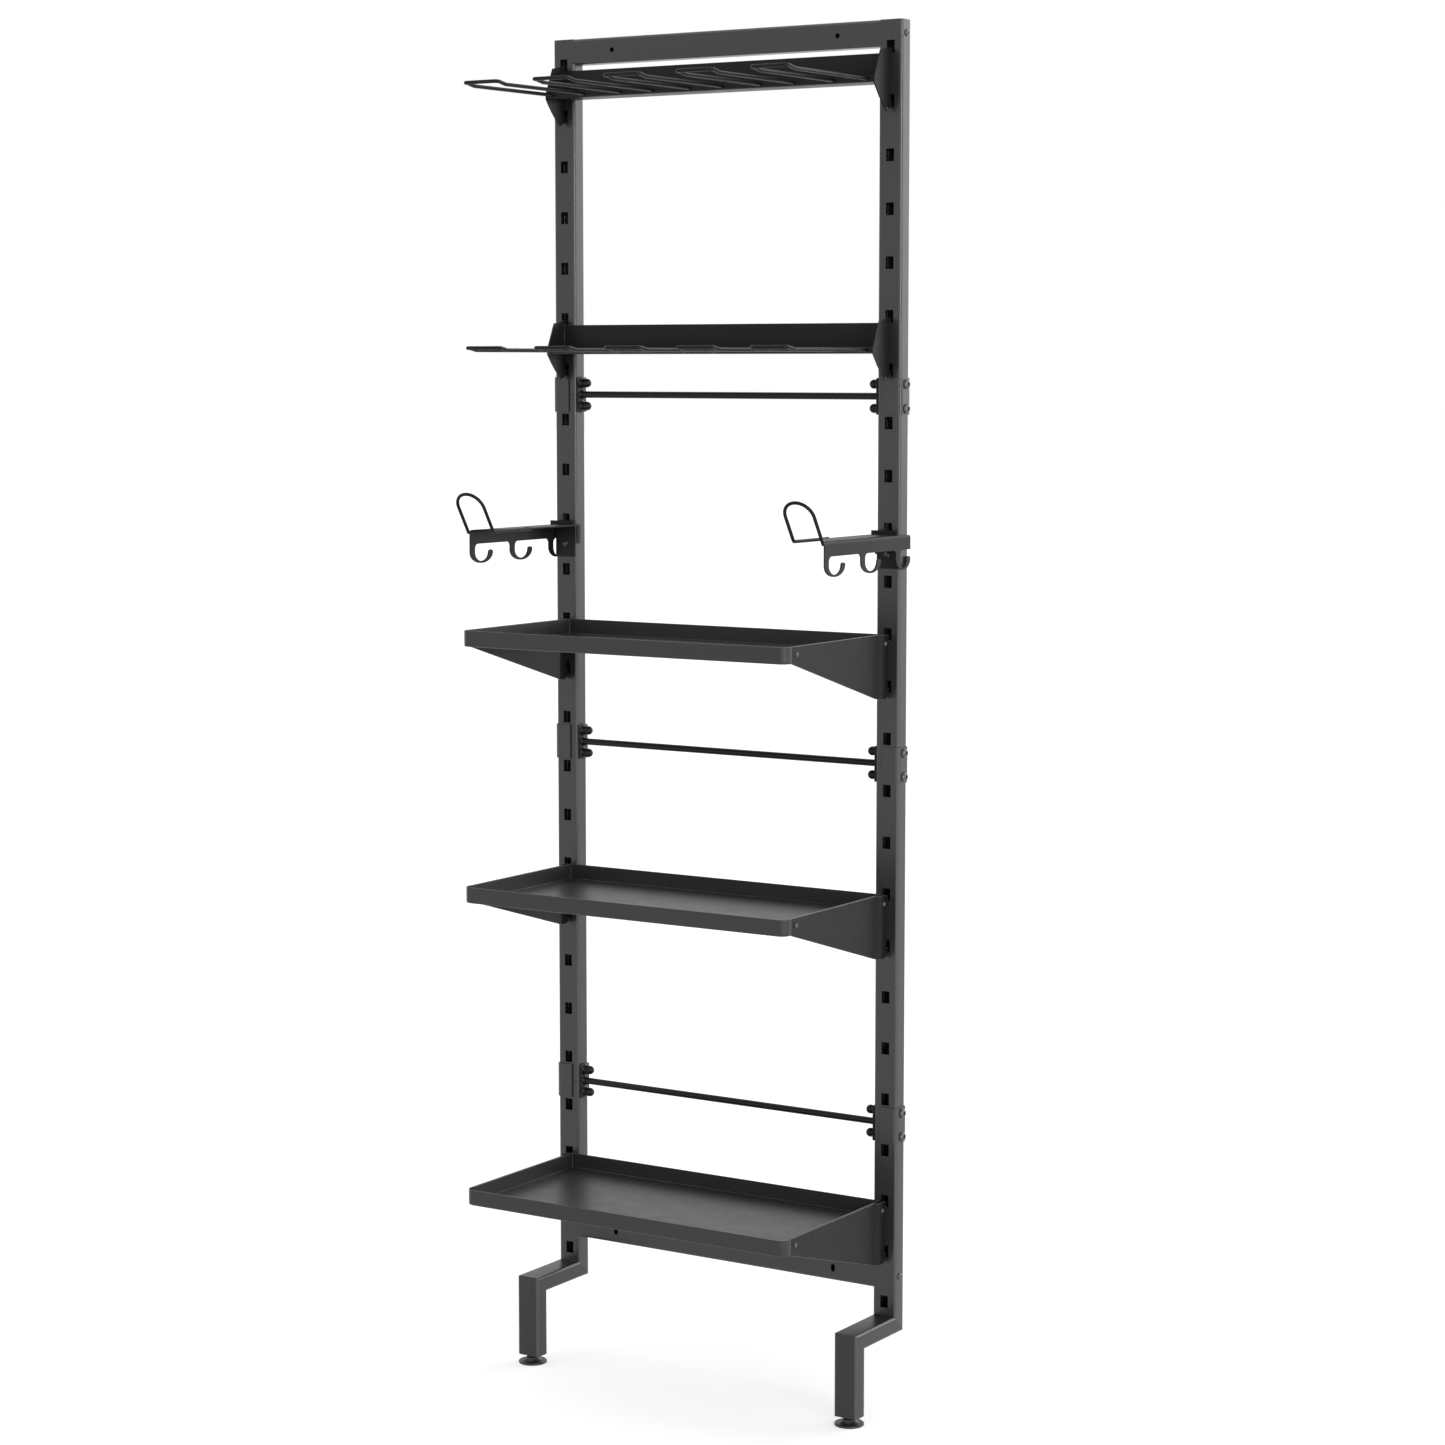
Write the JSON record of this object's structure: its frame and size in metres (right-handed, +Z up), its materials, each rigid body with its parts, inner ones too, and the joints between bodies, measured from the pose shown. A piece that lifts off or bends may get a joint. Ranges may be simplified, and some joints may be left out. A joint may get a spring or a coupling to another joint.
{
  "type": "wall mounted power tool organizer",
  "caption": "Tall slotted steel wall rack with hook-in tray shelves, wire-loop tool racks, side hook racks and levelling feet.",
  "frame": {"origin": "floor level, midway between the two posts, in the plane of the wall that the rack stands against", "axes": "+Z up, -Y out of the wall towards the person using the rack, +X to that person's right"},
  "size_m": [0.6202, 0.3036, 2.0264],
  "materials": {
    "powder_coat": "satin black powder coat on sheet and tube steel",
    "black_wire": "black coated steel wire",
    "black_screw": "black oxide steel",
    "zinc": "dull zinc plate",
    "black_plastic": "matt black moulded plastic"
  },
  "bodies": {
    "frame": {"post_left_top": "powder_coat", "post_left_upper": "powder_coat", "post_left_lower": "powder_coat", "post_left_foot": "powder_coat", "post_right_top": "powder_coat", "post_right_upper": "powder_coat", "post_right_lower": "powder_coat", "post_right_foot": "powder_coat", "coupler_left_top": "powder_coat", "coupler_left_upper": "powder_coat", "coupler_left_lower": "powder_coat", "coupler_right_top": "powder_coat", "coupler_right_upper": "powder_coat", "coupler_right_lower": "powder_coat", "coupler_bolt_left_top_high": "black_screw", "coupler_bolt_left_top_low": "black_screw", "coupler_bolt_left_upper_high": "black_screw", "coupler_bolt_left_upper_low": "black_screw", "coupler_bolt_left_lower_high": "black_screw", "coupler_bolt_left_lower_low": "black_screw", "coupler_bolt_right_top_high": "black_screw", "coupler_bolt_right_top_low": "black_screw", "coupler_bolt_right_upper_high": "black_screw", "coupler_bolt_right_upper_low": "black_screw", "coupler_bolt_right_lower_high": "black_screw", "coupler_bolt_right_lower_low": "black_screw", "cross_rod_top": "powder_coat", "cross_rod_upper": "powder_coat", "cross_rod_lower": "powder_coat", "top_beam": "powder_coat", "bottom_beam": "powder_coat"},
    "shelf_top": {"shelf_top_tray": "powder_coat", "shelf_top_bracket_left": "powder_coat", "shelf_top_bracket_right": "powder_coat"},
    "shelf_middle": {"shelf_middle_tray": "powder_coat", "shelf_middle_bracket_left": "powder_coat", "shelf_middle_bracket_right": "powder_coat"},
    "shelf_bottom": {"shelf_bottom_tray": "powder_coat", "shelf_bottom_bracket_left": "powder_coat", "shelf_bottom_bracket_right": "powder_coat"},
    "tool_rack_upper": {"tool_rack_upper_frame": "powder_coat", "tool_rack_upper_loop_1": "black_wire", "tool_rack_upper_loop_2": "black_wire", "tool_rack_upper_loop_3": "black_wire", "tool_rack_upper_loop_4": "black_wire", "tool_rack_upper_loop_5": "black_wire"},
    "tool_rack_lower": {"tool_rack_lower_frame": "powder_coat", "tool_rack_lower_loop_1": "black_wire", "tool_rack_lower_loop_2": "black_wire", "tool_rack_lower_loop_3": "black_wire", "tool_rack_lower_loop_4": "black_wire", "tool_rack_lower_loop_5": "black_wire"},
    "side_rack_left": {"side_rack_left_plate": "powder_coat", "side_rack_left_ring": "black_wire"},
    "side_rack_right": {"side_rack_right_plate": "powder_coat", "side_rack_right_ring": "black_wire"},
    "stem_left": {"levelling_stem_left": "zinc"},
    "stem_right": {"levelling_stem_right": "zinc"},
    "pad_left": {"levelling_pad_left": "black_plastic"},
    "pad_right": {"levelling_pad_right": "black_plastic"}
  },
  "joints": [
    {"name": "shelf_top_lift", "type": "slide", "parent": "frame", "child": "shelf_top", "axis": [0, 0, 1], "range_m": [0, 0.011]},
    {"name": "shelf_middle_lift", "type": "slide", "parent": "frame", "child": "shelf_middle", "axis": [0, 0, 1], "range_m": [0, 0.011]},
    {"name": "shelf_bottom_lift", "type": "slide", "parent": "frame", "child": "shelf_bottom", "axis": [0, 0, 1], "range_m": [0, 0.011]},
    {"name": "tool_rack_upper_lift", "type": "slide", "parent": "frame", "child": "tool_rack_upper", "axis": [0, 0, 1], "range_m": [0, 0.011]},
    {"name": "tool_rack_lower_lift", "type": "slide", "parent": "frame", "child": "tool_rack_lower", "axis": [0, 0, 1], "range_m": [0, 0.011]},
    {"name": "side_rack_left_lift", "type": "slide", "parent": "frame", "child": "side_rack_left", "axis": [0, 0, 1], "range_m": [0, 0.011]},
    {"name": "side_rack_right_lift", "type": "slide", "parent": "frame", "child": "side_rack_right", "axis": [0, 0, 1], "range_m": [0, 0.011]},
    {"name": "stem_left_level", "type": "slide", "parent": "frame", "child": "stem_left", "axis": [0, 0, 1], "range_m": [-0.012, 0.0025]},
    {"name": "stem_right_level", "type": "slide", "parent": "frame", "child": "stem_right", "axis": [0, 0, 1], "range_m": [-0.012, 0.0025]},
    {"name": "pad_left_turn", "type": "hinge", "parent": "stem_left", "child": "pad_left", "pos_m": [-0.28425, -0.1281, 0.005], "axis": [0, 0, 1], "continuous": true},
    {"name": "pad_right_turn", "type": "hinge", "parent": "stem_right", "child": "pad_right", "pos_m": [0.28425, -0.1281, 0.005], "axis": [0, 0, 1], "continuous": true}
  ]
}
